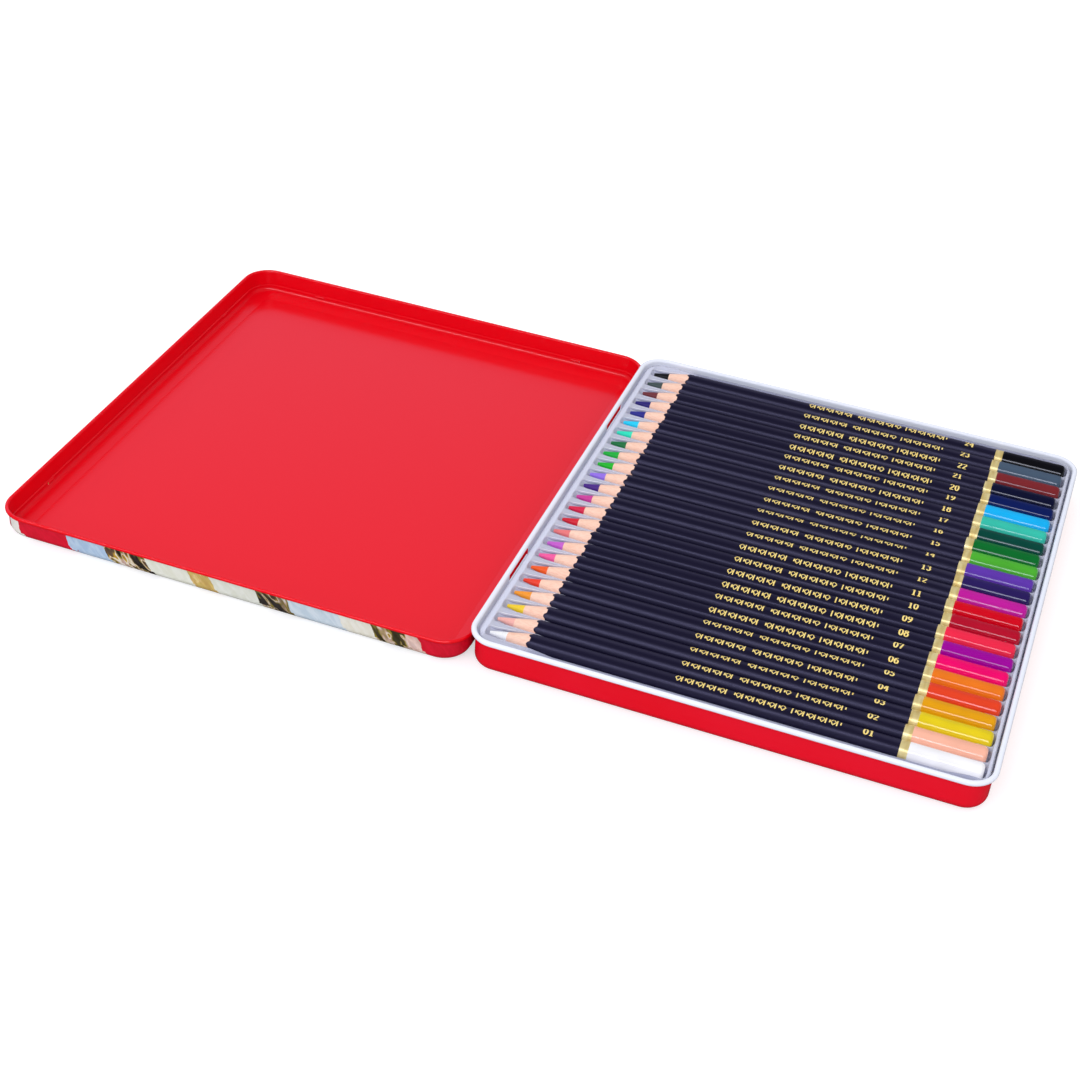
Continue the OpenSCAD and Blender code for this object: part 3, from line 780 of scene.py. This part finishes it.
def foil_tree(material):
    """Geometry nodes that lay a row of foil lozenges and bars along a line, in groups."""
    tree = bpy.data.node_groups.new("Foil chain", "GeometryNodeTree")
    sockets = tree.interface
    sockets.new_socket("Geometry", in_out="OUTPUT", socket_type="NodeSocketGeometry")
    for label, kind, value in (
        ("Count", "NodeSocketInt", 24),
        ("Group", "NodeSocketInt", 8),
        ("Spacing", "NodeSocketFloat", 2.3 * MM),
        ("Gap", "NodeSocketFloat", 2.0 * MM),
        ("Height", "NodeSocketFloat", 2.1 * MM),
        ("Thickness", "NodeSocketFloat", FOIL_THICK * MM),
    ):
        sockets.new_socket(label, in_out="INPUT", socket_type=kind).default_value = value
    source = node(tree, "NodeGroupInput").outputs
    index = node(tree, "GeometryNodeInputIndex").outputs[0]
    line = node(tree, "GeometryNodeMeshLine", {"Count": source["Count"], "Offset": (0, 0, 0)})
    group = node(tree, MATH, [index, source["Group"]], operation="DIVIDE")
    group = node(tree, MATH, [group], operation="FLOOR")
    steps = node(tree, MATH, [index, source["Spacing"]], operation="MULTIPLY")
    gaps = node(tree, MATH, [group, source["Gap"]], operation="MULTIPLY")
    x = node(tree, MATH, [steps, gaps], operation="ADD")
    place = node(tree, "ShaderNodeCombineXYZ", [x])
    placed = node(tree, "GeometryNodeSetPosition", {"Geometry": line, "Offset": place})
    # A lozenge is a square ring of four corners, drawn out along the pencil's girth.
    high = source["Height"]
    ring = node(tree, "GeometryNodeCurvePrimitiveCircle", {"Resolution": 4, "Radius": 0.5})
    finer = node(tree, "GeometryNodeSubdivideCurve", {"Curve": ring, "Cuts": 2})
    wide = node(tree, MATH, [high, 0.62], operation="MULTIPLY")
    size = node(tree, "ShaderNodeCombineXYZ", [wide, high, high])
    lozenge = node(tree, "GeometryNodeTransform", {"Geometry": finer, "Scale": size})
    band_size = {"Width": RING_WID * MM, "Height": source["Thickness"]}
    band = node(tree, "GeometryNodeCurvePrimitiveQuadrilateral", band_size)
    shapes = [node(tree, "GeometryNodeCurveToMesh", [lozenge, band])]
    # A long and a short bar, cut finely enough to bend round the facet.
    for part in (1.05, 0.5):
        long = node(tree, MATH, [high, part], operation="MULTIPLY")
        bar_size = node(tree, "ShaderNodeCombineXYZ", [BAR_WID * MM, long, source["Thickness"]])
        shapes.append(node(tree, "GeometryNodeMeshCube", {"Size": bar_size, "Vertices Y": 7}))
    both = node(tree, "GeometryNodeGeometryToInstance")
    for shape in reversed(shapes):
        feed(both, [shape])
    turn_of = node(tree, MATH, [index, float(len(shapes))], operation="MODULO")
    picks = {"Points": placed, "Instance": both, "Pick Instance": True, "Instance Index": turn_of}
    copies = node(tree, "GeometryNodeInstanceOnPoints", picks)
    real = node(tree, "GeometryNodeRealizeInstances", [copies])
    painted = node(tree, "GeometryNodeSetMaterial", {"Geometry": real, "Material": material})
    node(tree, "NodeGroupOutput", [painted])
    return tree


def grown(name, tree, values):
    """The plain mesh that a geometry tree makes with these inputs."""
    carrier = bpy.data.objects.new(name + "_carrier", bpy.data.meshes.new(name + "_carrier"))
    bpy.context.scene.collection.objects.link(carrier)
    modifier = carrier.modifiers.new("tree", "NODES")
    modifier.node_group = tree
    by_name = {item.name: item.identifier for item in tree.interface.items_tree if item.in_out == "INPUT"}
    for label, value in values.items():
        modifier[by_name[label]] = value
    bpy.context.view_layer.update()
    seen = carrier.evaluated_get(bpy.context.evaluated_depsgraph_get())
    mesh = bpy.data.meshes.new_from_object(seen)
    carrier.modifiers.clear()
    old = carrier.data
    bpy.data.objects.remove(carrier)
    bpy.data.meshes.remove(old)
    mesh.name = name
    if not mesh.polygons:
        raise RuntimeError("the tree made no faces for " + name)
    piece = bpy.data.objects.new(name, mesh)
    bpy.context.scene.collection.objects.link(piece)
    return piece


class PencilTinSettings(bpy.types.PropertyGroup):
    red: bpy.props.StringProperty(
        name="Red", description="Red enamel of the tin, as an sRGB hex value", default="e80014"
    )
    white: bpy.props.StringProperty(
        name="White", description="Enamel inside the base, as an sRGB hex value", default="f0f3fc"
    )
    dark: bpy.props.StringProperty(
        name="Lacquer", description="Lacquer of the pencils, as an sRGB hex value", default="110e24"
    )
    foil_spacing: bpy.props.FloatProperty(
        name="Foil spacing",
        description="Distance between foil marks",
        default=1.3 * MM,
        min=0.5 * MM,
        max=5 * MM,
        unit="LENGTH",
    )
    foil_height: bpy.props.FloatProperty(
        name="Foil height",
        description="Height of the foil marks",
        default=3.0 * MM,
        min=0.5 * MM,
        max=3.4 * MM,
        unit="LENGTH",
    )
    foil_count: bpy.props.IntProperty(
        name="Foil marks", description="Number of foil marks on a pencil", default=42, min=1, max=80
    )
    floor_size: bpy.props.FloatProperty(
        name="Floor", description="Width of the floor", default=8.0, min=1.0, max=40.0, unit="LENGTH"
    )


class OBJECT_OT_tin_enamel(bpy.types.Operator):
    """Finishes the base, the lid and the hinge pins"""

    bl_idname = "object.tin_enamel"
    bl_label = "Enamel the tin"

    def execute(self, context):
        settings = context.scene.pencil_tin
        dress("base_tin", enamel_base(settings.red, settings.white))
        dress("lid_tin", printed_lid(settings.red))
        dress("hinge_pins", steel_wire())
        return {"FINISHED"}


class OBJECT_OT_tin_tray(bpy.types.Operator):
    """Forms the clear tray"""

    bl_idname = "object.tin_tray"
    bl_label = "Form the tray"

    def execute(self, context):
        tray = build_tray(clear_film())
        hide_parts("pencil_tray")
        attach(tray, "tray")
        return {"FINISHED"}


class OBJECT_OT_tin_pencils(bpy.types.Operator):
    """Builds the casings and finishes the cores"""

    bl_idname = "object.tin_pencils"
    bl_label = "Build the pencils"

    def execute(self, context):
        wood, dark, gold = turned_cedar(), lacquer(context.scene.pencil_tin.dark), gold_paint()
        for number, name in enumerate(NAMES, 1):
            casing = build_casing(number, [wood, dark, gold, dipped_enamel(number, DIP_HEX[number - 1])])
            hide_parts("pencil_" + name)
            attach(casing, "pencil_body_" + name)
            dress("core_" + name, pigment_core(number, CORE_HEX[number - 1]))
        return {"FINISHED"}


class OBJECT_OT_tin_foil(bpy.types.Operator):
    """Stamps each pencil with its number and a chain of foil marks"""

    bl_idname = "object.tin_foil"
    bl_label = "Stamp the foil"

    def execute(self, context):
        settings = context.scene.pencil_tin
        foil = gold_foil()
        tree = foil_tree(foil)
        for number, name in enumerate(NAMES, 1):
            values = {
                "Count": settings.foil_count,
                "Group": FOIL_GROUP,
                "Spacing": settings.foil_spacing,
                "Gap": FOIL_GAP * MM,
                "Height": settings.foil_height,
            }
            chain = grown("foil_chain_" + name, tree, values)
            for vert in chain.data.vertices:
                x, across, lift = vert.co / MM
                vert.co = foil_point(number, PATTERN_START + x, across, max(lift, 0.0) * 2)
            figures = build_number(number, foil)
            for piece in (chain, figures):
                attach(piece, "pencil_body_" + name)
        return {"FINISHED"}


class OBJECT_OT_tin_stage(bpy.types.Operator):
    """Adds the floor, the lamp, the world and the camera"""

    bl_idname = "object.tin_stage"
    bl_label = "Set the stage"

    def execute(self, context):
        scene = context.scene
        half = scene.pencil_tin.floor_size / 2
        bm = bmesh.new()
        corners = [bm.verts.new((x * half, y * half, 0)) for x, y in ((-1, -1), (1, -1), (1, 1), (-1, 1))]
        bm.faces.new(corners)
        floor = finish_piece("floor", bm, [stage_paper()])
        light_world(scene)
        hang_lamp(scene)
        scene.camera = photographer(scene)
        scene.view_settings.view_transform = "Standard"
        return {"FINISHED"}


def hang_lamp(scene):
    """One long strip lamp, high in front of the tin."""
    lamp = bpy.data.lights.new("strip", "AREA")
    lamp.shape = "RECTANGLE"
    lamp.size, lamp.size_y = 1.7, 0.14
    lamp.energy = 8.2
    lamp.color = linear("e9edff")[:3]
    holder = bpy.data.objects.new("strip", lamp)
    holder.location = (-0.2, -0.95, 0.88)
    towards = Vector((-0.08, 0, 0)) - holder.location
    holder.rotation_euler = towards.to_track_quat("-Z", "Y").to_euler()
    scene.collection.objects.link(holder)


def stage_paper():
    """Matt white background paper, which looks white to the camera and keeps the shadow."""
    made, tree, shader, coords = new_material("background_paper")
    rays = node(tree, "ShaderNodeLightPath").outputs
    fibres = node(tree, NOISE, {"Vector": coords["Object"], "Scale": 400.0})
    tone = node(tree, MIX, {0: fibres, MIX_A: grey(0.56), MIX_B: grey(0.58)}, data_type="RGBA")
    # In reflections the paper shows dark grey, not white: a painted darkening of the floor as glossy surfaces
    # mirror it.
    seen = {0: rays["Is Glossy Ray"], MIX_A: tone, MIX_B: grey(0.08)}
    feed(shader, {
        "Base Color": node(tree, MIX, seen, data_type="RGBA"),
        "Roughness": 0.9,
        "Specular IOR Level": 0.1,
        "Emission Color": grey(1.0),
        "Emission Strength": node(tree, MATH, [rays["Is Camera Ray"], 0.58], operation="MULTIPLY"),
    })
    return made


def light_world(scene):
    """A soft pale room: white to the camera, even as light on things, and shaped for reflections."""
    world = bpy.data.worlds.new("room")
    world.use_nodes = True
    scene.world = world
    tree = world.node_tree
    rays = node(tree, "ShaderNodeLightPath").outputs
    place = node(tree, SPLIT, [node(tree, "ShaderNodeTexCoord").outputs["Generated"]]).outputs
    # Behind the tin, to the left, a white screen fades out upwards; the rest of the room is darker.
    screen_tones = ((0.0, 0.5), (0.5, 0.8), (0.6, 0.62), (0.66, 0.5), (0.76, 0.2), (0.86, 0.12), (1.0, 0.16))
    room_tones = ((0.0, 0.16), (0.3, 0.1), (0.7, 0.05), (1.0, 0.07))
    screen = node(tree, RAMP, [place[2]], [(height, grey(tone)) for height, tone in screen_tones])
    front = node(tree, RAMP, [place[2]], [(height, grey(tone)) for height, tone in room_tones])
    depth = {"Value": place[1], "From Min": -0.2, "From Max": 0.3}
    behind = node(tree, RANGE, depth, interpolation_type="SMOOTHSTEP")
    side = {"Value": place[0], "From Min": -0.3, "From Max": 0.0, "To Min": 1.0, "To Max": 0.12}
    leftward = node(tree, RANGE, side, interpolation_type="SMOOTHSTEP")
    screened = node(tree, MATH, [behind, leftward], operation="MULTIPLY")
    mirrored = node(tree, MIX, {0: screened, MIX_A: front, MIX_B: screen}, data_type="RGBA")
    tint = {0: 1.0, MIX_A: mirrored, MIX_B: linear("dcd9ff")}
    mirrored = node(tree, MIX, tint, data_type="RGBA", blend_type="MULTIPLY")
    lit = {0: rays["Is Glossy Ray"], MIX_A: grey(0.88), MIX_B: mirrored}
    room = node(tree, MIX, lit, data_type="RGBA")
    seen = {0: rays["Is Camera Ray"], MIX_A: room, MIX_B: grey(1.0)}
    feed(tree.nodes["Background"], [node(tree, MIX, seen, data_type="RGBA")])


def photographer(scene):
    """The camera, at the place and turn of the fitted view."""
    yaw, pitch, roll = math.radians(-17.93), math.radians(36.68), math.radians(4.34)
    ahead = Vector((math.sin(yaw) * math.cos(pitch), math.cos(yaw) * math.cos(pitch), -math.sin(pitch)))
    right = Vector((math.cos(yaw), -math.sin(yaw), 0))
    up = right.cross(ahead)
    level_right = right * math.cos(roll) + up * math.sin(roll)
    level_up = up * math.cos(roll) - right * math.sin(roll)
    lens = bpy.data.cameras.new("camera")
    lens.lens = 63.03
    lens.sensor_width = 36.0
    lens.clip_start = 0.01
    lens.clip_end = 50.0
    camera = bpy.data.objects.new("camera", lens)
    turn = Matrix((level_right, level_up, -ahead)).transposed().to_4x4()
    camera.matrix_world = Matrix.Translation(Vector((85.9, -579.5, 436.6)) * MM) @ turn
    scene.collection.objects.link(camera)
    return camera


class VIEW3D_PT_pencil_tin(bpy.types.Panel):
    bl_idname = "VIEW3D_PT_pencil_tin"
    bl_label = "Pencil tin"
    bl_space_type = "VIEW_3D"
    bl_region_type = "UI"
    bl_category = "Pencil tin"

    def draw(self, context):
        settings = context.scene.pencil_tin
        for name in ("red", "white", "dark", "foil_spacing", "foil_height", "foil_count", "floor_size"):
            self.layout.prop(settings, name)
        for operator in STEPS:
            self.layout.operator(operator.bl_idname)


STEPS = (
    OBJECT_OT_tin_stage,
    OBJECT_OT_tin_enamel,
    OBJECT_OT_tin_tray,
    OBJECT_OT_tin_pencils,
    OBJECT_OT_tin_foil,
)
CLASSES = (PencilTinSettings, *STEPS, VIEW3D_PT_pencil_tin)


def register():
    for item in CLASSES:
        bpy.utils.register_class(item)
    bpy.types.Scene.pencil_tin = bpy.props.PointerProperty(type=PencilTinSettings)


def unregister():
    del bpy.types.Scene.pencil_tin
    for item in reversed(CLASSES):
        bpy.utils.unregister_class(item)


def main():
    register()
    bpy.ops.object.tin_stage()
    bpy.ops.object.tin_enamel()
    bpy.ops.object.tin_tray()
    bpy.ops.object.tin_pencils()
    bpy.ops.object.tin_foil()


if __name__ == "__main__":
    main()
